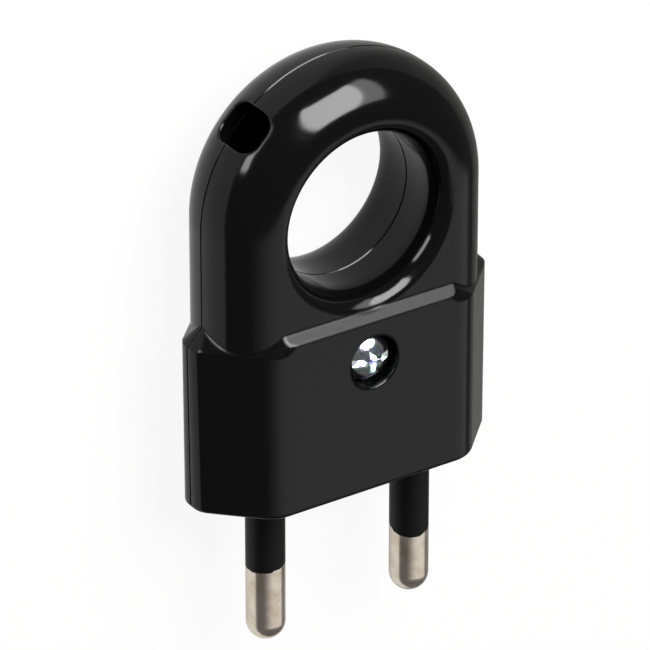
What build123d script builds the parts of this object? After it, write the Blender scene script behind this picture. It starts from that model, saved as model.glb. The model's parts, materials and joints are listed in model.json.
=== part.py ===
from build123d import *
import os
from math import asin, degrees, sqrt

os.makedirs("parts", exist_ok=True)

# Two-pin plug with a finger ring, lying on the rear face of its housing.
# X runs across the plug, +Y points from the pins to the ring, +Z is the front face upwards.
# All sizes are in millimetres.

# Housing outline
ring_radius = 15.4        # outside of the ring at the parting line, and half the width of its legs
hole_radius = 8.3         # finger hole
hole_rise = -0.2          # finger hole centre above the ring's own centre
block_overhang = 1.7      # pin block beyond the legs on each side, at its shoulder
face_taper = 0.2          # how much narrower the block is at the engagement face, on each side
shoulder_drop = 10.05     # ring centre down to where the block's 45 degree shoulders leave the legs
shoulder_cover = 0.1      # top of the shoulders, hidden in the legs
body_drop = 29.75         # ring centre down to the engagement face
block_step = 0.9          # how far the block stands proud of the ring's faces

# Housing depth, measured from the parting plane
front_depth = 6.0         # ring and legs, front half
rear_depth = 6.3          # ring and legs, rear half
edge_reach = 5.4          # round outside of the ring and legs, across the face
block_flat = 1.15         # upright side of the block, from the parting plane to its 45 degree slant
side_round = 2.1          # round corner between the upright side and the slant
front_round = 3.7         # round corner between the slant and the face
rim_reach = 1.7           # flare of the finger hole's rim, across the face
rim_depth = 3.2           # the same flare, into the hole
face_edge = 0.4           # small round edge of the engagement face
parting_edge = 0.12       # 45 degree break of both halves' edges at the parting line

# Mouldings
wall = 1.7                # shell wall
end_wall = 2.2            # wall at the engagement face
rib = 1.6                 # ribs that trap the pins
seat_gap = 0.05           # clearance of a seated round piece
slide_gap = 0.1           # clearance of a flat seat
cut_past = 1.0            # how far a cutting form stands past the surface that it cuts

# Cord inlet through the ring
inlet_width = 4.5         # round the ring
inlet_depth = 5.6         # across the parting line
inlet_corner = 1.7
inlet_angle = 136         # degrees from +X
inlet_rise = 0.45         # its middle in front of the parting plane
inlet_lip = 0.15          # 45 degree break of its mouth

# Pins
pin_spacing = 17.15
pin_diameter = 4.0
pin_rise = 0.45           # pin axes in front of the parting plane
pin_length = 17.2         # engagement face to tip
left_sleeve_length = 8.9  # insulated part, from the engagement face
right_sleeve_length = 10.3
core_diameter = 3.0       # metal under the sleeve
root_diameter = 4.6       # sleeve inside the end wall
collar_diameter = 6.4
collar_length = 1.4
neck_diameter = 3.0
head_width = 6.4          # terminal block, across
head_length = 7.0
head_height = 3.4

# Terminal screws and washers
terminal_thread = 2.5
terminal_head_diameter = 4.0
terminal_head_height = 1.2
terminal_dome = 0.25      # domed part of their heads
terminal_slot = 0.7       # width and depth of the slot in their heads
washer_diameter = 5.0
washer_thickness = 0.5

# Housing screw and nut
screw_drop = 15.4         # ring centre down to the screw
screw_diameter = 2.5
screw_head_diameter = 4.7
screw_head_height = 1.95
screw_dome = 0.85         # domed part of the head
screw_length = 10.6       # under the head
recess_diameter = 5.6
recess_depth = 2.1
recess_wall = 1.4
slot_width = 0.75
slot_depth = 0.65
cross_width = 0.7
cross_reach = 2.8
cross_depth = 1.15
nut_flats = 5.0
nut_thickness = 2.0
nut_inset = 1.2           # rear face to the nut

# Cord clamp, a bar between the left leg's wall and the screw boss
clamp_end_gap = 0.6       # leg's inner wall to the bar's outer end
clamp_inner_end = 3.7     # middle of the plug to the bar's inner end
clamp_screw_inset = 1.5   # each end of the bar to its screw
clamp_width = 4.0
clamp_thickness = 1.6
clamp_drop = 11.8         # ring centre down to the clamp bar
clamp_screw_diameter = 2.0
clamp_head_diameter = 3.5
clamp_head_height = 1.3
clamp_dome = 0.4          # domed part of their heads
clamp_screw_length = 4.0
clamp_slot = 0.6          # width and depth of the slot in their heads
cord_room = 3.4           # space under the bar for the cord
post_diameter = 3.6

# Locating pegs between the halves
peg_diameter = 1.8
peg_height = 1.5
peg_post_diameter = 4.2

# Derived places
parting = rear_depth + block_step
shoulder_size = block_overhang + shoulder_cover
top_half_width = ring_radius + block_overhang
face_half_width = top_half_width - face_taper
clamp_outer_end = ring_radius - wall - clamp_end_gap
clamp_length = clamp_outer_end - clamp_inner_end
clamp_side = (clamp_outer_end + clamp_inner_end) / 2
clamp_screw_spacing = clamp_length - 2 * clamp_screw_inset
overall_length = ring_radius + body_drop + pin_length
ring_y = overall_length / 2 - ring_radius
face_y = ring_y - body_drop
inner_face_y = face_y + end_wall
collar_y = inner_face_y + slide_gap
rib_y = collar_y + collar_length + slide_gap
head_y = rib_y + rib + slide_gap
terminal_y = head_y + head_length / 2
screw_y = ring_y - screw_drop
clamp_y = ring_y - clamp_drop
pin_level = parting + pin_rise
channel_radius = (hole_radius + ring_radius) / 2
peg_places = [
    (0, ring_y + channel_radius),
    (channel_radius, ring_y + hole_rise),
    (0, inner_face_y + peg_diameter),
]


def ring_profile(depth, inset):
    # Right half of the section of the ring and legs, shrunk by the inset: flat face and round outside,
    # with a 45 degree break at the parting plane.
    side = ring_radius - inset
    top = depth - inset
    flat = ring_radius - edge_reach
    with BuildSketch() as profile:
        with BuildLine():
            Polyline((flat, top), (0, top), (0, 0), (side - parting_edge, 0), (side, parting_edge))
            EllipticalCenterArc(
                (flat, parting_edge),
                side - flat,
                top - parting_edge,
                start_angle=0,
                arc_size=90,
            )
        make_face()
    return profile.sketch


def block_profile(half_width, depth, inset, side_inset):
    # Right half of the block's section, shrunk by the inset: upright side with a 45 degree break
    # at the parting plane, 45 degree slant and flat face. The side and the slant shrink by the
    # side inset as well.
    shrink = inset + side_inset
    side = half_width - shrink
    top = depth - inset
    slant = top_half_width + block_flat - shrink * sqrt(2)      # X plus height, along the slant
    with BuildSketch() as profile:
        with BuildLine():
            Polyline((0, top), (0, 0), (side - parting_edge, 0))
            Line((side - parting_edge, 0), (side, parting_edge))
            Polyline((side, parting_edge), (side, slant - side), (slant - top, top), (0, top))
        make_face()
        fillet(profile.vertices().sort_by_distance((side, slant - side))[0], side_round - shrink)
        fillet(profile.vertices().sort_by_distance((slant - top, top))[0], front_round - inset)
    return profile.sketch


def housing_form(upper_depth, inset, end_inset):
    # Solid form of one half, shrunk by the inset. It lies on the parting plane z = 0, outwards is +Z.
    block_depth = upper_depth + block_step
    shoulder_end = shoulder_drop + block_overhang + inset * (sqrt(2) - 1)
    leg_profile = ring_profile(upper_depth, inset)
    levels = [
        (shoulder_end, block_profile(top_half_width, block_depth, inset, 0)),
        (body_drop - end_inset, block_profile(face_half_width, block_depth, inset, 0)),
    ]
    if inset == 0:
        shoulder_top = block_profile(top_half_width, block_depth, inset, shoulder_size)
        levels.insert(0, (shoulder_drop - shoulder_cover, shoulder_top))
    with BuildPart() as form:
        # ring: half a turn of the leg's section
        with BuildSketch(Plane.XZ):
            add(leg_profile)
        revolve(axis=Axis.Z, revolution_arc=180)
        # legs, straight down into the block
        with BuildSketch(Plane.XZ):
            add(leg_profile)
            mirror(about=Plane.YZ)
        extrude(amount=shoulder_end)
    with BuildPart() as block:
        # block: sloping shoulder, then a little narrower towards the engagement face
        for drop, profile in levels:
            with BuildSketch(Plane.XZ.offset(drop)):
                add(profile)
                mirror(about=Plane.YZ)
        loft(ruled=True)
        if inset == 0:
            # sloping step in the face
            step_end = shoulder_drop + block_step
            with BuildSketch(Plane.YZ):
                Polygon(
                    (-step_end, block_depth),
                    (0, block_depth - step_end),
                    (0, block_depth + cut_past),
                    (-step_end, block_depth + cut_past),
                    align=None,
                )
            extrude(amount=2 * ring_radius, both=True, mode=Mode.SUBTRACT)
            low_edges = block.faces().sort_by(Axis.Y)[0].edges()
            fillet(low_edges.filter_by(lambda e: e.center().Z > parting_edge), face_edge)
    with BuildPart() as joined:
        add(form.part)
        add(block.part)
    return joined.part


def finger_hole(upper_depth):
    # Finger hole of one half with its flared rim, as the solid to take away.
    with BuildPart() as hole:
        with BuildSketch(Plane.XZ):
            with BuildLine():
                Polyline(
                    (0, upper_depth + cut_past),
                    (0, -cut_past),
                    (hole_radius + parting_edge, -cut_past),
                    (hole_radius + parting_edge, 0),
                    (hole_radius, parting_edge),
                    (hole_radius, upper_depth - rim_depth),
                )
                EllipticalCenterArc(
                    (hole_radius + rim_reach, upper_depth - rim_depth),
                    rim_reach,
                    rim_depth,
                    start_angle=90,
                    arc_size=90,
                )
                Polyline(
                    (hole_radius + rim_reach, upper_depth),
                    (hole_radius + rim_reach, upper_depth + cut_past),
                    (0, upper_depth + cut_past),
                )
            make_face()
        revolve(axis=Axis.Z)
    return hole.part


def is_mouth_edge(edge):
    # True for an edge of the cord inlet where it meets the outside of the ring.
    direction = Vector(1, 0, 0).rotate(Axis.Z, inlet_angle)
    middle = edge.position_at(0.5)
    along = middle.dot(direction)
    across = middle.cross(direction).Z
    through_wall = abs(edge.tangent_at(0.5).dot(direction)) > 0.9
    near_mouth = along > ring_radius - wall and abs(across) < inlet_width / 2 + slide_gap
    return near_mouth and middle.Z > parting_edge and not through_wall


def half_shell(upper_depth, front_side):
    # Hollow shell of one half, outwards is +Z: form less cavity, finger hole and cord inlet.
    # The last value is 1 for the front half and -1 for the rear half.
    inlet_direction = Vector(1, 0, 0).rotate(Axis.Z, inlet_angle)
    inlet_plane = Plane(origin=(0, 0, 0), x_dir=(0, 0, 1), z_dir=inlet_direction)
    cavity = housing_form(upper_depth, wall, end_wall)
    outer = housing_form(upper_depth, 0, 0)
    hole = finger_hole(upper_depth)
    with BuildPart() as chamber:
        add(cavity)
        with Locations((0, hole_rise, 0)):
            Cylinder(hole_radius + wall, 2 * (upper_depth + cut_past), mode=Mode.SUBTRACT)
    with BuildPart() as shell:
        add(outer)
        add(chamber.part, mode=Mode.SUBTRACT)
        with Locations((0, hole_rise, 0)):
            add(hole, mode=Mode.SUBTRACT)
        with BuildSketch(inlet_plane.offset(channel_radius)):
            with Locations((front_side * inlet_rise, 0)):
                RectangleRounded(inlet_depth, inlet_width, inlet_corner)
        extrude(amount=ring_radius, mode=Mode.SUBTRACT)
        chamfer(shell.edges().filter_by(is_mouth_edge), inlet_lip)
    return shell.part, outer


def inner_ribs(upper_depth):
    # Features inside one half, outwards is +Z, ring centre at the origin: the rib behind each
    # pin's collar and the screw boss. They run out to the shell's wall.
    reach = upper_depth + block_step
    with BuildPart() as ribs:
        with Locations((0, rib_y - ring_y + rib / 2, reach / 2)):
            Box(pin_spacing + collar_diameter, rib, reach)
        with Locations((0, -screw_drop, reach / 2)):
            Cylinder(recess_diameter / 2 + recess_wall, reach)
    return ribs.part


def pin_seats(front_side):
    # Room for both pins in one half as the solid to take away, outwards is +Z, ring centre
    # at the origin.
    level = front_side * pin_rise
    root_radius = root_diameter / 2 + seat_gap
    neck_radius = neck_diameter / 2 + seat_gap
    with BuildPart() as seats:
        for side in (-1, 1):
            with BuildSketch(Plane.XZ.offset(body_drop + cut_past)):
                with Locations((side * pin_spacing / 2, level)):
                    Circle(root_radius)
            extrude(amount=-(end_wall + 2 * cut_past))
            with BuildSketch(Plane.XZ.offset(ring_y - rib_y + slide_gap)):
                with Locations((side * pin_spacing / 2, level)):
                    Circle(neck_radius)
            extrude(amount=-(rib + 2 * slide_gap))
    return seats.part


def screw_solid(head_diameter, head_height, dome, shank_diameter, length):
    # Plain screw standing on Z: underside of the head at z = 0, shank downwards, domed head upwards.
    rim = head_height - dome
    with BuildPart() as screw:
        with BuildSketch(Plane.XZ):
            with BuildLine():
                Polyline(
                    (0, head_height),
                    (0, -length),
                    (shank_diameter / 2, -length),
                    (shank_diameter / 2, 0),
                    (head_diameter / 2, 0),
                    (head_diameter / 2, rim),
                )
                dome_radius = ((head_diameter / 2) ** 2 + dome**2) / (2 * dome)
                half_angle = degrees(asin(head_diameter / 2 / dome_radius))
                CenterArc((0, head_height - dome_radius), dome_radius, 90 - half_angle, half_angle)
            make_face()
        revolve(axis=Axis.Z)
    return screw.part


# Front half of the housing
front_form, front_outer = half_shell(front_depth, 1)
front_ribs = inner_ribs(front_depth)
with BuildPart() as front_fittings:
    add(front_ribs)
    for x, y, z in [(x, y - ring_y, (front_depth + block_step) / 2) for x, y in peg_places]:
        with Locations((x, y, z)):
            Cylinder(peg_post_diameter / 2, 2 * z)
    add(front_outer, mode=Mode.INTERSECT)
with BuildPart() as front_half:
    add(front_form)
    add(front_fittings.part)
    add(pin_seats(1), mode=Mode.SUBTRACT)
    screw_floor = front_depth + block_step - recess_depth
    with Locations((0, -screw_drop, screw_floor)):
        Cylinder(
            recess_diameter / 2,
            2 * recess_depth,
            align=(Align.CENTER, Align.CENTER, Align.MIN),
            mode=Mode.SUBTRACT,
        )
    with Locations((0, -screw_drop, 0)):
        Cylinder(screw_diameter / 2 + slide_gap, 2 * (screw_floor + cut_past), mode=Mode.SUBTRACT)
    for x, y in peg_places:
        with Locations((x, y - ring_y, 0)):
            Cylinder(peg_diameter / 2 + slide_gap, 2 * (peg_height + slide_gap), mode=Mode.SUBTRACT)
with BuildPart() as front_shell:
    with Locations((0, ring_y, parting)):
        add(front_half.part)
front_shell.part.label = "front_shell"

# Rear half of the housing, made outwards-up and turned over
rear_form, rear_outer = half_shell(rear_depth, -1)
rear_ribs = inner_ribs(rear_depth)
post_top = rear_depth + block_step - wall - cord_room
clamp_places = [(-clamp_side + side * clamp_screw_spacing / 2, -clamp_drop) for side in (-1, 1)]
with BuildPart() as rear_fittings:
    add(rear_ribs)
    rear_reach = rear_depth + block_step
    for x, y in peg_places:
        with Locations((x, y - ring_y, rear_reach / 2)):
            Cylinder(peg_post_diameter / 2, rear_reach)
    for x, y in clamp_places:
        with Locations((x, y, rear_reach)):
            Cylinder(
                post_diameter / 2,
                rear_reach - post_top,
                align=(Align.CENTER, Align.CENTER, Align.MAX),
            )
    add(rear_outer, mode=Mode.INTERSECT)
with BuildPart() as rear_half:
    add(rear_form)
    add(rear_fittings.part)
    add(pin_seats(-1), mode=Mode.SUBTRACT)
    with Locations((0, -screw_drop, 0)):
        Cylinder(screw_diameter / 2 + slide_gap, 2 * (rear_reach + cut_past), mode=Mode.SUBTRACT)
    nut_floor = rear_reach - nut_inset - nut_thickness - slide_gap
    with BuildSketch(Plane.XY.offset(nut_floor)):
        with Locations((0, -screw_drop)):
            RegularPolygon(nut_flats / 2 + slide_gap, 6, major_radius=False)
    extrude(amount=rear_reach, mode=Mode.SUBTRACT)
    for x, y in clamp_places:
        with Locations((x, y, post_top)):
            Cylinder(
                clamp_screw_diameter / 2 + seat_gap,
                clamp_screw_length - clamp_thickness + slide_gap,
                align=(Align.CENTER, Align.CENTER, Align.MIN),
                mode=Mode.SUBTRACT,
            )
    for x, y in peg_places:
        with Locations((x, y - ring_y, 0)):
            Cylinder(peg_diameter / 2, 2 * peg_height)
turned_rear = mirror(rear_half.part, about=Plane.XY)
with BuildPart() as rear_shell:
    with Locations((0, ring_y, parting)):
        add(turned_rear)
rear_shell.part.label = "rear_shell"

export_step(front_shell.part, "parts/front_shell.step")
export_step(rear_shell.part, "parts/rear_shell.step")

# Pins, insulating sleeves, terminal screws and washers, left and right
for side, name, sleeve_length in ((-1, "left", left_sleeve_length), (1, "right", right_sleeve_length)):
    pin_x = side * pin_spacing / 2
    pin_plane = Plane(origin=(pin_x, face_y, pin_level), x_dir=(1, 0, 0), z_dir=(0, 0, 1))
    pin_radius = pin_diameter / 2
    tip = -pin_length
    collar = collar_y - face_y
    neck = collar + collar_length
    head = head_y - face_y
    terminal_level = pin_level + head_height / 2

    with BuildPart() as pin:
        with BuildSketch(pin_plane):
            with BuildLine():
                CenterArc((0, tip + pin_radius), pin_radius, -90, 90)
                Polyline(
                    (pin_radius, tip + pin_radius),
                    (pin_radius, -sleeve_length),
                    (core_diameter / 2, -sleeve_length),
                    (core_diameter / 2, collar),
                    (collar_diameter / 2, collar),
                    (collar_diameter / 2, neck),
                    (neck_diameter / 2, neck),
                    (neck_diameter / 2, head + head_length / 2),
                    (0, head + head_length / 2),
                    (0, tip),
                )
            make_face()
        revolve(axis=Axis((pin_x, 0, pin_level), (0, 1, 0)))
        with Locations((pin_x, terminal_y, pin_level)):
            Box(head_width, head_length, head_height)
        with Locations((pin_x, terminal_y, pin_level)):
            Cylinder(terminal_thread / 2 + seat_gap, 2 * head_height, mode=Mode.SUBTRACT)
    pin.part.label = name + "_pin"
    export_step(pin.part, "parts/" + name + "_pin.step")

    bore = core_diameter / 2 + seat_gap
    with BuildPart() as sleeve:
        with BuildSketch(pin_plane):
            with BuildLine():
                Polyline(
                    (bore, -sleeve_length),
                    (pin_radius, -sleeve_length),
                    (pin_radius, 0),
                    (root_diameter / 2, 0),
                    (root_diameter / 2, end_wall),
                    (bore, end_wall),
                    close=True,
                )
            make_face()
        revolve(axis=Axis((pin_x, 0, pin_level), (0, 1, 0)))
    sleeve.part.label = name + "_sleeve"
    export_step(sleeve.part, "parts/" + name + "_sleeve.step")

    with BuildPart() as washer:
        with BuildSketch(Plane.XY.offset(terminal_level)):
            with Locations((pin_x, terminal_y)):
                Circle(washer_diameter / 2)
                Circle(terminal_thread / 2 + slide_gap, mode=Mode.SUBTRACT)
        extrude(amount=washer_thickness)
    washer.part.label = name + "_terminal_washer"
    export_step(washer.part, "parts/" + name + "_terminal_washer.step")

    terminal_screw_solid = screw_solid(
        terminal_head_diameter,
        terminal_head_height,
        terminal_dome,
        terminal_thread,
        head_height + washer_thickness,
    )
    with BuildPart() as terminal_screw:
        with Locations((pin_x, terminal_y, terminal_level + washer_thickness)):
            add(terminal_screw_solid)
        with Locations((pin_x, terminal_y, terminal_level + washer_thickness + terminal_head_height)):
            Box(2 * terminal_head_diameter, terminal_slot, 2 * terminal_slot, mode=Mode.SUBTRACT)
    terminal_screw.part.label = name + "_terminal_screw"
    export_step(terminal_screw.part, "parts/" + name + "_terminal_screw.step")

# Housing screw with a slot and a cross in its head, and its nut in the rear face
head_seat = parting + front_depth + block_step - recess_depth
housing_screw_solid = screw_solid(
    screw_head_diameter, screw_head_height, screw_dome, screw_diameter, screw_length
)
with BuildPart() as housing_screw:
    with Locations((0, screw_y, head_seat)):
        add(housing_screw_solid)
    with Locations((0, screw_y, head_seat + screw_head_height)):
        Box(2 * screw_head_diameter, slot_width, 2 * slot_depth, mode=Mode.SUBTRACT)
        Box(cross_width, cross_reach, 2 * cross_depth, mode=Mode.SUBTRACT)
        Box(cross_reach, cross_width, 2 * cross_depth, mode=Mode.SUBTRACT)
housing_screw.part.label = "housing_screw"
export_step(housing_screw.part, "parts/housing_screw.step")

with BuildPart() as housing_nut:
    with BuildSketch(Plane.XY.offset(nut_inset)):
        with Locations((0, screw_y)):
            RegularPolygon(nut_flats / 2, 6, major_radius=False)
            Circle(screw_diameter / 2 + seat_gap, mode=Mode.SUBTRACT)
    extrude(amount=nut_thickness)
housing_nut.part.label = "housing_nut"
export_step(housing_nut.part, "parts/housing_nut.step")

# Cord clamp bar on the two posts of the rear half, with its screws
clamp_level = parting - post_top
clamp_screw_solid = screw_solid(
    clamp_head_diameter, clamp_head_height, clamp_dome, clamp_screw_diameter, clamp_screw_length
)
with BuildPart() as cord_clamp:
    with BuildSketch(Plane.XY.offset(clamp_level)):
        with Locations((-clamp_side, clamp_y)):
            SlotOverall(clamp_length, clamp_width)
        for x, y in clamp_places:
            with Locations((x, y + ring_y)):
                Circle(clamp_screw_diameter / 2 + slide_gap, mode=Mode.SUBTRACT)
    extrude(amount=clamp_thickness)
cord_clamp.part.label = "cord_clamp"
export_step(cord_clamp.part, "parts/cord_clamp.step")

for (x, y), name in zip(clamp_places, ("outer", "inner")):
    with BuildPart() as clamp_screw:
        with Locations((x, y + ring_y, clamp_level + clamp_thickness)):
            add(clamp_screw_solid)
        with Locations((x, y + ring_y, clamp_level + clamp_thickness + clamp_head_height)):
            Box(2 * clamp_head_diameter, clamp_slot, 2 * clamp_slot, mode=Mode.SUBTRACT)
    clamp_screw.part.label = "clamp_screw_" + name
    export_step(clamp_screw.part, "parts/clamp_screw_" + name + ".step")
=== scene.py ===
import json
import math

import bpy
import numpy as np
from mathutils import Matrix, Vector

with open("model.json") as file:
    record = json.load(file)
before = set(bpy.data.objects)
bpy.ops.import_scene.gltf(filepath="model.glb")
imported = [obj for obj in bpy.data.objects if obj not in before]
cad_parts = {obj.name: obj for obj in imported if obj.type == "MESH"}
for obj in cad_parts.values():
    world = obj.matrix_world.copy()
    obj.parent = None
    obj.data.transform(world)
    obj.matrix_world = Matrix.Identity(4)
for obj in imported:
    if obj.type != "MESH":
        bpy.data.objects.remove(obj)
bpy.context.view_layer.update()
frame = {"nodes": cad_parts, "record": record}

nodes = frame["nodes"]
print("frame loaded:", len(nodes), "nodes")

mm = 0.001  # in metres

# Places on the plug, in mm. X goes to the right of its front, Y from the pins to the ring, and Z up from the
# rear face.
plug = {"ringY": 15.775, "partingZ": 7.2, "faceY": -13.975, "pinX": 8.575, "pinZ": 7.65, "pinRadius": 2.0}


def linearColour(hexText, alpha=1.0):
    # sRGB hex to linear: each channel c becomes c/12.92 below 0.04045, else ((c + 0.055)/1.055)^2.4
    text = hexText.lstrip("#")
    srgb = np.array([int(text[i:i + 2], 16) for i in (0, 2, 4)]) / 255
    linear = np.where(srgb <= 0.04045, srgb / 12.92, ((srgb + 0.055) / 1.055) ** 2.4)
    return (*linear.tolist(), alpha)


def addNode(tree, kind, values=None):
    # values: a property's name, or an input's name or number, to its value or to the output that feeds it
    node = tree.nodes.new(kind)
    for key, value in (values or {}).items():
        if isinstance(value, bpy.types.NodeSocket):
            tree.links.new(value, node.inputs[key])
        elif isinstance(key, int) or key in node.inputs:
            node.inputs[key].default_value = value
        else:
            setattr(node, key, value)
    return node


def newMaterial(name):
    material = bpy.data.materials.new(name)
    material.use_nodes = True
    material.node_tree.nodes.clear()
    return material, material.node_tree


# Materials. In a Mix node, inputs 6 and 7 are the two colours, and output 2 is what they mix to.

# Moulded ABS, polished tool: deep black, mirror-like, with the faintest orange peel and hair scratches.
housingLook = {
    "colour": "#050505",
    "specularLevel": 0.3,
    "ior": 1.5,
    "peelSize": 1.6,            # mm between the moulding's soft waves
    "peelHeight": 0.0012,       # mm
    "scuffSize": 0.35,          # mm
    "scuffSpan": (0.35, 0.75),  # levels of the scuffs' noise that give the two roughnesses
    "roughness": (0.09, 0.14),
    "edgeRadius": 0.45,         # mm, softened bends
    "seamRadius": 0.08,         # mm, the same at the parting line
    "seamReach": (0.4, 0.8),    # mm from the parting line, where seamRadius grows to edgeRadius
    "edgeSamples": 8,
}


def housingPlastic(look):
    material, tree = newMaterial("mouldedAbsBlack")
    place = addNode(tree, "ShaderNodeTexCoord").outputs["Object"]
    waves = addNode(tree, "ShaderNodeTexNoise", {
        "Vector": place, "Scale": 1 / (look["peelSize"] * mm), "Detail": 1.0,
    })
    scuffs = addNode(tree, "ShaderNodeTexNoise", {
        "Vector": place, "Scale": 1 / (look["scuffSize"] * mm), "Detail": 4.0, "Roughness": 0.6,
    })
    rough = addNode(tree, "ShaderNodeMapRange", {
        "Value": scuffs.outputs["Fac"], "From Min": look["scuffSpan"][0], "From Max": look["scuffSpan"][1],
        "To Min": look["roughness"][0], "To Max": look["roughness"][1],
    })
    height = addNode(tree, "ShaderNodeSeparateXYZ", {"Vector": place}).outputs["Z"]
    fromSeam = addNode(tree, "ShaderNodeMath", {
        "operation": "SUBTRACT", 0: height, 1: plug["partingZ"] * mm,
    })
    offSeam = addNode(tree, "ShaderNodeMath", {"operation": "ABSOLUTE", 0: fromSeam.outputs["Value"]})
    radius = addNode(tree, "ShaderNodeMapRange", {
        "Value": offSeam.outputs["Value"],
        "From Min": look["seamReach"][0] * mm, "From Max": look["seamReach"][1] * mm,
        "To Min": look["seamRadius"] * mm, "To Max": look["edgeRadius"] * mm,
    })
    softEdge = addNode(tree, "ShaderNodeBevel", {
        "samples": look["edgeSamples"], "Radius": radius.outputs["Result"],
    })
    bump = addNode(tree, "ShaderNodeBump", {
        "Strength": 1.0, "Distance": look["peelHeight"] * mm,
        "Height": waves.outputs["Fac"], "Normal": softEdge.outputs["Normal"],
    })
    shader = addNode(tree, "ShaderNodeBsdfPrincipled", {
        "Base Color": linearColour(look["colour"]), "Roughness": rough.outputs["Result"],
        "IOR": look["ior"], "Specular IOR Level": look["specularLevel"], "Normal": bump.outputs["Normal"],
    })
    addNode(tree, "ShaderNodeOutputMaterial", {"Surface": shader.outputs["BSDF"]})
    return material


def metalShader(tree, colour, pattern, roughness, height):
    # Bare metal whose roughness, from the first to the second, and relief, in mm, both follow one pattern.
    rough = addNode(tree, "ShaderNodeMapRange", {
        "Value": pattern, "To Min": roughness[0], "To Max": roughness[1],
    })
    bump = addNode(tree, "ShaderNodeBump", {"Strength": 1.0, "Distance": height * mm, "Height": pattern})
    shader = addNode(tree, "ShaderNodeBsdfPrincipled", {
        "Metallic": 1.0, "Base Color": colour,
        "Roughness": rough.outputs["Result"], "Normal": bump.outputs["Normal"],
    })
    return shader.outputs["BSDF"]


# Bright zinc-plated steel: cold, shiny, uneven crystals.
zincLook = {
    "colour": "#e3e8ec",
    "tints": {"#a9cfb6": (0.5, 0.7), "#b4abdc": (0.5, 0.3)},  # each with the noise levels from none to full
    "tintSize": 0.9,        # mm
    "spangle": 0.5,         # mm across a crystal
    "spangleHeight": 0.03,  # mm
    "roughness": (0.06, 0.26),
}


def zincSteel(look):
    material, tree = newMaterial("zincPlatedSteel")
    place = addNode(tree, "ShaderNodeTexCoord").outputs["Object"]
    spangle = addNode(tree, "ShaderNodeTexNoise", {
        "Vector": place, "Scale": 1 / (look["spangle"] * mm), "Detail": 4.0, "Roughness": 0.7,
    })
    tint = addNode(tree, "ShaderNodeTexNoise", {
        "Vector": place, "Scale": 1 / (look["tintSize"] * mm), "Detail": 2.0,
    })
    colour = linearColour(look["colour"])
    for tone, (none, full) in look["tints"].items():
        part = addNode(tree, "ShaderNodeMapRange", {
            "Value": tint.outputs["Fac"], "From Min": none, "From Max": full,
        })
        colour = addNode(tree, "ShaderNodeMix", {
            "data_type": "RGBA", 0: part.outputs["Result"], 6: colour, 7: linearColour(tone),
        }).outputs[2]
    shader = metalShader(tree, colour, spangle.outputs["Fac"], look["roughness"], look["spangleHeight"])
    addNode(tree, "ShaderNodeOutputMaterial", {"Surface": shader})
    return material


# Polyamide sleeve: matt black, soft sheen.
sleeveLook = {
    "colour": "#060606",
    "roughness": 0.42,
    "specularLevel": 0.18,
    "grain": 0.25,         # mm
    "grainHeight": 0.004,  # mm
}


def plasticShader(tree, place, look):
    grain = addNode(tree, "ShaderNodeTexNoise", {
        "Vector": place, "Scale": 1 / (look["grain"] * mm), "Detail": 3.0,
    })
    bump = addNode(tree, "ShaderNodeBump", {
        "Strength": 1.0, "Distance": look["grainHeight"] * mm, "Height": grain.outputs["Fac"],
    })
    shader = addNode(tree, "ShaderNodeBsdfPrincipled", {
        "Base Color": linearColour(look["colour"]), "Roughness": look["roughness"],
        "Specular IOR Level": look["specularLevel"], "Normal": bump.outputs["Normal"],
    })
    return shader.outputs["BSDF"]


# Nickel-plated brass, drawn and tumbled: warm grey satin, tarnished in places, with fine lines along the
# pin, and a painted highlight: a thin near-white band where the black ends, for the glint along the sleeve's
# edge.
pinLook = {
    "colour": "#eee3d4",
    "tarnish": "#dccdb9",
    "cloudSize": 1.6,           # mm across a patch of tarnish
    "cloudSpan": (0.42, 0.68),  # levels of the clouds' noise, from clean to tarnished
    "lineSize": 0.12,           # mm across a line
    "lineHeight": 0.0015,       # mm
    "lineShare": 0.12,          # a line's width over its length
    "roughness": (0.14, 0.30),
    "paintedGlintColour": "#fffaf0",
    "paintedGlintSpan": (0.05, 0.025),   # mm past the black, from no painted highlight to full painted highlight
}


def nickelShader(tree, place, past, look):
    # past: metres past the sleeve's end
    stretched = addNode(tree, "ShaderNodeMapping", {
        "Vector": place, "Scale": (1.0, look["lineShare"], 1.0),
    })
    lines = addNode(tree, "ShaderNodeTexNoise", {
        "Vector": stretched.outputs["Vector"], "Scale": 1 / (look["lineSize"] * mm), "Detail": 3.0,
    })
    clouds = addNode(tree, "ShaderNodeTexNoise", {
        "Vector": place, "Scale": 1 / (look["cloudSize"] * mm), "Detail": 4.0,
    })
    tarnished = addNode(tree, "ShaderNodeMapRange", {
        "Value": clouds.outputs["Fac"], "From Min": look["cloudSpan"][0], "From Max": look["cloudSpan"][1],
    })
    metal = addNode(tree, "ShaderNodeMix", {
        "data_type": "RGBA", 0: tarnished.outputs["Result"],
        6: linearColour(look["colour"]), 7: linearColour(look["tarnish"]),
    })
    # Painted highlight: a thin near-white band just past the sleeve's end stands for the glint along its
    # edge.
    paintedGlint = addNode(tree, "ShaderNodeMapRange", {
        "Value": past, "From Min": look["paintedGlintSpan"][0] * mm, "From Max": look["paintedGlintSpan"][1] * mm,
    })
    colour = addNode(tree, "ShaderNodeMix", {
        "data_type": "RGBA", 0: paintedGlint.outputs["Result"],
        6: metal.outputs[2], 7: linearColour(look["paintedGlintColour"]),
    })
    pattern = lines.outputs["Fac"]
    return metalShader(tree, colour.outputs[2], pattern, look["roughness"], look["lineHeight"])


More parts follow.
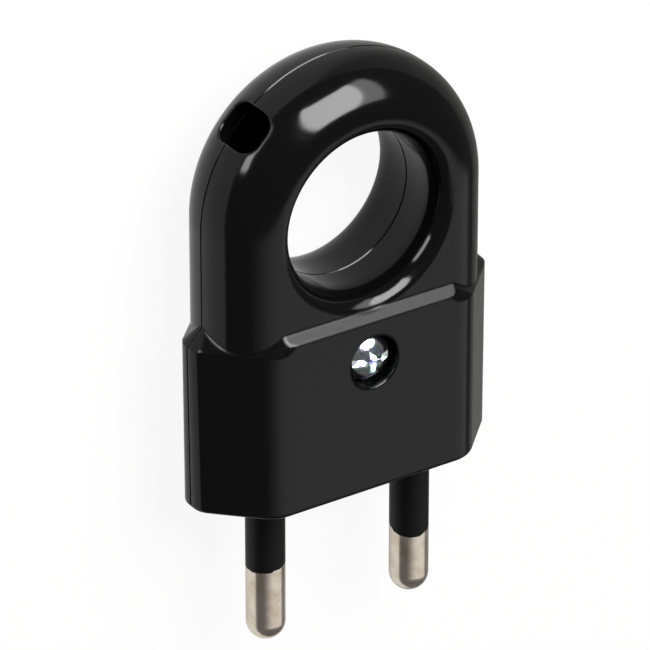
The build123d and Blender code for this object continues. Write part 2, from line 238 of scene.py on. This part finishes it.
# Ends of the sleeves, in mm. Each is a slanted cut. The sleeve's longest side, which ends at endY, is at
# the turn, in degrees from the front to the right.
sleeveEnds = {
    "left": {"pinX": -plug["pinX"], "endY": -22.875, "slant": 0.30, "turn": -70},
    "right": {"pinX": plug["pinX"], "endY": -24.275, "slant": 0.75, "turn": -20},
}
ragLook = {
    "size": 0.7,           # mm from one rag to the next
    "reach": 0.16,         # mm
    "span": (0.25, 0.75),  # levels of the noise that give the full reach either way
}


def pastSleeveEnd(tree, place, end):
    # How far a place on the pin lies past the sleeve's end, in metres. The end is the plane
    # y = endY + slant * (1 - x' sin(turn) - z' cos(turn)), with x' and z' from the pin's axis in radii,
    # made ragged by noise.
    turn = math.radians(end["turn"])
    slopeX = end["slant"] * math.sin(turn) / plug["pinRadius"]
    slopeZ = end["slant"] * math.cos(turn) / plug["pinRadius"]
    atEnd = (end["endY"] + end["slant"] + slopeX * end["pinX"] + slopeZ * plug["pinZ"]) * mm
    along = addNode(tree, "ShaderNodeVectorMath", {
        "operation": "DOT_PRODUCT", 0: place, 1: (-slopeX, -1.0, -slopeZ),
    })
    past = addNode(tree, "ShaderNodeMath", {"operation": "ADD", 0: along.outputs["Value"], 1: atEnd})
    flat = addNode(tree, "ShaderNodeMapping", {"Vector": place, "Scale": (1.0, 0.0, 1.0)})
    noise = addNode(tree, "ShaderNodeTexNoise", {
        "Vector": flat.outputs["Vector"], "Scale": 1 / (ragLook["size"] * mm),
        "Detail": 3.0, "Roughness": 0.6,
    })
    rag = addNode(tree, "ShaderNodeMapRange", {
        "Value": noise.outputs["Fac"], "From Min": ragLook["span"][0], "From Max": ragLook["span"][1],
        "To Min": -ragLook["reach"] * mm, "To Max": ragLook["reach"] * mm,
    })
    return addNode(tree, "ShaderNodeMath", {
        "operation": "ADD", 0: past.outputs["Value"], 1: rag.outputs["Result"],
    }).outputs["Value"]


def pinOrSleeve(name, end, isPin):
    # Metal past the sleeve's end, black before it. On a pin, what lies inside the housing is metal too.
    material, tree = newMaterial(name)
    place = addNode(tree, "ShaderNodeTexCoord").outputs["Object"]
    past = pastSleeveEnd(tree, place, end)
    metal = addNode(tree, "ShaderNodeMath", {"operation": "GREATER_THAN", 0: past, 1: 0.0})
    if isPin:
        lengthwise = addNode(tree, "ShaderNodeSeparateXYZ", {"Vector": place}).outputs["Y"]
        inside = addNode(tree, "ShaderNodeMath", {
            "operation": "GREATER_THAN", 0: lengthwise, 1: plug["faceY"] * mm,
        })
        metal = addNode(tree, "ShaderNodeMath", {
            "operation": "MAXIMUM", 0: metal.outputs["Value"], 1: inside.outputs["Value"],
        })
    both = addNode(tree, "ShaderNodeMixShader", {
        0: metal.outputs["Value"], 1: plasticShader(tree, place, sleeveLook),
        2: nickelShader(tree, place, past, pinLook),
    })
    addNode(tree, "ShaderNodeOutputMaterial", {"Surface": both.outputs["Shader"]})
    return material


# A finish goes by the node's own name, or else by its slot in the record.
finishes = {"housing_plastic": housingPlastic(housingLook), "screw_metal": zincSteel(zincLook)}
for side, end in sleeveEnds.items():
    finishes[side + "_pin"] = pinOrSleeve("nickelPlatedBrass" + side.capitalize(), end, True)
    finishes[side + "_sleeve"] = pinOrSleeve("polyamideSleeveBlack" + side.capitalize(), end, False)
slotOf = {part["node"]: part["material_slot"] for part in frame["record"]["subparts"]}
for name, node in nodes.items():
    for slot in node.material_slots:
        slot.material = finishes[name if name in finishes else slotOf[name]]
print("materials:", len(finishes))

# Camera
ringCentre = np.array([0.0, plug["ringY"], plug["partingZ"]]) * mm
pictureView = {
    "azimuth": 33.41,     # degrees
    "elevation": 28.71,
    "roll": -0.02,
    "distance": 0.585,    # m from the ring's centre
    "pixelsPerMm": 10.35,
    "targetX": 335.32,    # px, where the ring's centre is in the picture
    "targetY": 193.67,
    "imageWidth": 650,    # px
    "sensorWidth": 36,    # mm
    "clip": (0.01, 20),   # m
}


def viewAxes(view):
    # The angles are for the plug stood up on its pins, with x to the right, y back and z up. Lying down,
    # these are X, -Z and Y.
    azimuth, elevation, roll = (math.radians(view[key]) for key in ("azimuth", "elevation", "roll"))
    forward = np.array([math.sin(azimuth) * math.cos(elevation), math.cos(azimuth) * math.cos(elevation),
                        -math.sin(elevation)])
    right = np.array([math.cos(azimuth), -math.sin(azimuth), 0.0])
    up = np.cross(right, forward)
    turnedRight = right * math.cos(roll) + up * math.sin(roll)
    turnedUp = up * math.cos(roll) - right * math.sin(roll)
    toLying = np.array([[1, 0, 0], [0, 0, 1], [0, -1, 0]], float)
    return toLying @ forward, toLying @ turnedRight, toLying @ turnedUp


def placeCamera(view):
    forward, right, up = viewAxes(view)
    pixel = mm / view["pixelsPerMm"]
    middle = view["imageWidth"] / 2
    offRight = (view["targetX"] - middle) * pixel
    offUp = (middle - view["targetY"]) * pixel
    place = ringCentre - forward * view["distance"] - right * offRight - up * offUp
    data = bpy.data.cameras.new("pictureCamera")
    data.sensor_width = view["sensorWidth"]
    data.lens = view["sensorWidth"] * view["distance"] / (view["imageWidth"] * pixel)
    data.clip_start, data.clip_end = view["clip"]
    camera = bpy.data.objects.new("pictureCamera", data)
    bpy.context.scene.collection.objects.link(camera)
    turn = Matrix((right, up, -forward)).transposed().to_4x4()
    camera.matrix_world = Matrix.Translation(Vector(place)) @ turn
    bpy.context.scene.camera = camera


placeCamera(pictureView)
print("camera placed")

# Cards of light, each where one thing reflects it: the ring's top, the step, the front face with the pins,
# and the inlet's lip. Corners are directions from the ring's centre, the distance is in metres, and the
# fades, of the first side, the second side and the ends, are shares of the card.
cards = {
    "keyCard": {
        "corners": [(-0.22, 0.88, 0.43), (0.35, 0.87, 0.35), (0.42, 0.26, 0.87), (0.13, 0.24, 0.96)],
        "distance": 0.9, "radiance": 16.0, "fades": (0.03, 0.06, 0.03),
    },
    "sideCard": {
        "corners": [(0.30, 0.88, 0.36), (0.47, 0.86, 0.21), (0.62, 0.24, 0.74), (0.38, 0.24, 0.89)],
        "distance": 0.95, "radiance": 4.6, "fades": (0.1, 0.2, 0.1),
    },
    "faceCard": {
        "corners": [(-0.69, -0.36, 0.62), (0.92, -0.36, 0.13), (0.74, -0.66, 0.10), (-0.56, -0.66, 0.50)],
        "distance": 1.0, "radiance": 0.7, "fades": (0.5, 0.15, 0.25),
    },
    "backCard": {
        "corners": [(-0.94, 0.34, 0.06), (-0.57, 0.82, 0.06), (-0.56, 0.80, 0.24), (-0.90, 0.33, 0.28)],
        "distance": 0.9, "radiance": 10.0, "fades": (0.1, 0.1, 0.1),
    },
}
cardGrid = (25, 9)  # points across, along


def lightCard(name, corners, distance, radiance, fades):
    # A curved card of light, at one distance from the ring's centre. Between its corners the angle about Y
    # and the share along Y change evenly. Towards its sides and ends it fades by a smooth step, and light
    # from behind it comes through.
    unit = np.array(corners) / np.linalg.norm(corners, axis=1, keepdims=True)
    turnAndRise = np.stack([np.arctan2(unit[:, 0], unit[:, 2]), unit[:, 1]], -1)
    across, along = np.meshgrid(*(np.linspace(0, 1, count) for count in cardGrid))
    weights = np.stack([(1 - across) * (1 - along), across * (1 - along),
                        across * along, (1 - across) * along], -1)
    turn, rise = np.moveaxis(weights @ turnAndRise, -1, 0)
    level = np.sqrt(1 - rise ** 2)
    directions = np.stack([level * np.sin(turn), rise, level * np.cos(turn)], -1).reshape(-1, 3)
    places = ringCentre + distance * directions
    number = np.arange(across.size).reshape(across.shape)
    quads = np.stack([number[:-1, :-1], number[:-1, 1:], number[1:, 1:], number[1:, :-1]], -1)
    quads = quads.reshape(-1, 4)
    mesh = bpy.data.meshes.new(name)
    mesh.from_pydata(places.tolist(), [], quads.tolist())
    shares = np.stack([across.ravel(), along.ravel()], -1)[quads.ravel()]
    mesh.uv_layers.new(name="card").data.foreach_set("uv", shares.astype(np.float32).ravel())
    material, tree = newMaterial(name)
    place = addNode(tree, "ShaderNodeTexCoord").outputs["UV"]
    where = addNode(tree, "ShaderNodeSeparateXYZ", {"Vector": place})
    strength = radiance
    first, second, ends = fades
    for axis, dark, full in (("X", 0, first), ("X", 1, 1 - second), ("Y", 0, ends), ("Y", 1, 1 - ends)):
        fade = addNode(tree, "ShaderNodeMapRange", {
            "interpolation_type": "SMOOTHSTEP", "Value": where.outputs[axis],
            "From Min": dark, "From Max": full,
        })
        strength = addNode(tree, "ShaderNodeMath", {
            "operation": "MULTIPLY", 0: fade.outputs["Result"], 1: strength,
        }).outputs["Value"]
    glow = addNode(tree, "ShaderNodeEmission", {"Strength": strength})
    clear = addNode(tree, "ShaderNodeBsdfTransparent")
    both = addNode(tree, "ShaderNodeAddShader", {0: glow.outputs["Emission"], 1: clear.outputs["BSDF"]})
    addNode(tree, "ShaderNodeOutputMaterial", {"Surface": both.outputs["Shader"]})
    mesh.materials.append(material)
    card = bpy.data.objects.new(name, mesh)
    bpy.context.scene.collection.objects.link(card)


for cardName, values in cards.items():
    lightCard(cardName, **values)
print("light cards:", len(cards))

# Floor and world
stageLook = {
    "floorColour": "#c0c0be",
    "floorSize": 3.0,             # m
    "whiteSeen": 0.92,            # part of the floor that the camera sees as plain white
    "shareReflected": 0.8,        # part of it that reflections see as a painted reflection, a glow from paintedGlowLeft to paintedGlowRight
    "paintedGlowLeft": 0.7,
    "paintedGlowRight": 0.08,
    "turnover": (-0.002, 0.022),  # m, where the one level turns into the other
    "worldStrength": 0.12,
}


def paperFloor(look):
    # Matt paper, which keeps the shadow. Mixed into it, the camera sees plain white, and reflections see a
    # painted
    # reflection: the floor glows bright to the left of the plug and dim to its right.
    material, tree = newMaterial("paperFloor")
    paper = addNode(tree, "ShaderNodeBsdfDiffuse", {"Color": linearColour(look["floorColour"])})
    ray = addNode(tree, "ShaderNodeLightPath").outputs
    reflected = addNode(tree, "ShaderNodeMath", {
        "operation": "MAXIMUM", 0: ray["Is Glossy Ray"], 1: ray["Is Transmission Ray"],
    })
    shareReflected = addNode(tree, "ShaderNodeMath", {
        "operation": "MULTIPLY", 0: reflected.outputs["Value"], 1: look["shareReflected"],
    })
    share = addNode(tree, "ShaderNodeMath", {
        "operation": "MULTIPLY_ADD",
        0: ray["Is Camera Ray"], 1: look["whiteSeen"], 2: shareReflected.outputs["Value"],
    })
    place = addNode(tree, "ShaderNodeTexCoord").outputs["Object"]
    sideways = addNode(tree, "ShaderNodeSeparateXYZ", {"Vector": place}).outputs["X"]
    # Painted reflection: what reflections see of the floor glows, bright to the left of the plug and dim to
    # its right.
    paintedReflectionGlow = addNode(tree, "ShaderNodeMapRange", {
        "interpolation_type": "SMOOTHSTEP", "Value": sideways,
        "From Min": look["turnover"][0], "From Max": look["turnover"][1],
        "To Min": look["paintedGlowLeft"], "To Max": look["paintedGlowRight"],
    })
    level = addNode(tree, "ShaderNodeMath", {
        "operation": "MAXIMUM", 0: ray["Is Camera Ray"], 1: paintedReflectionGlow.outputs["Result"],
    })
    whiteOrPaintedGlow = addNode(tree, "ShaderNodeEmission", {"Strength": level.outputs["Value"]})
    both = addNode(tree, "ShaderNodeMixShader", {
        0: share.outputs["Value"], 1: paper.outputs["BSDF"], 2: whiteOrPaintedGlow.outputs["Emission"],
    })
    addNode(tree, "ShaderNodeOutputMaterial", {"Surface": both.outputs["Shader"]})
    return material


half = stageLook["floorSize"] / 2
floorMesh = bpy.data.meshes.new("floor")
floorCorners = [(-half, -half, 0), (half, -half, 0), (half, half, 0), (-half, half, 0)]
floorMesh.from_pydata(floorCorners, [], [(0, 1, 2, 3)])
floorMesh.materials.append(paperFloor(stageLook))
floor = bpy.data.objects.new("floor", floorMesh)
bpy.context.scene.collection.objects.link(floor)

world = bpy.data.worlds.new("studio")
bpy.context.scene.world = world
world.use_nodes = True
background = world.node_tree.nodes["Background"]
background.inputs["Color"].default_value = (1, 1, 1, 1)
background.inputs["Strength"].default_value = stageLook["worldStrength"]
bpy.context.scene.view_settings.view_transform = "Standard"
print("stage set")
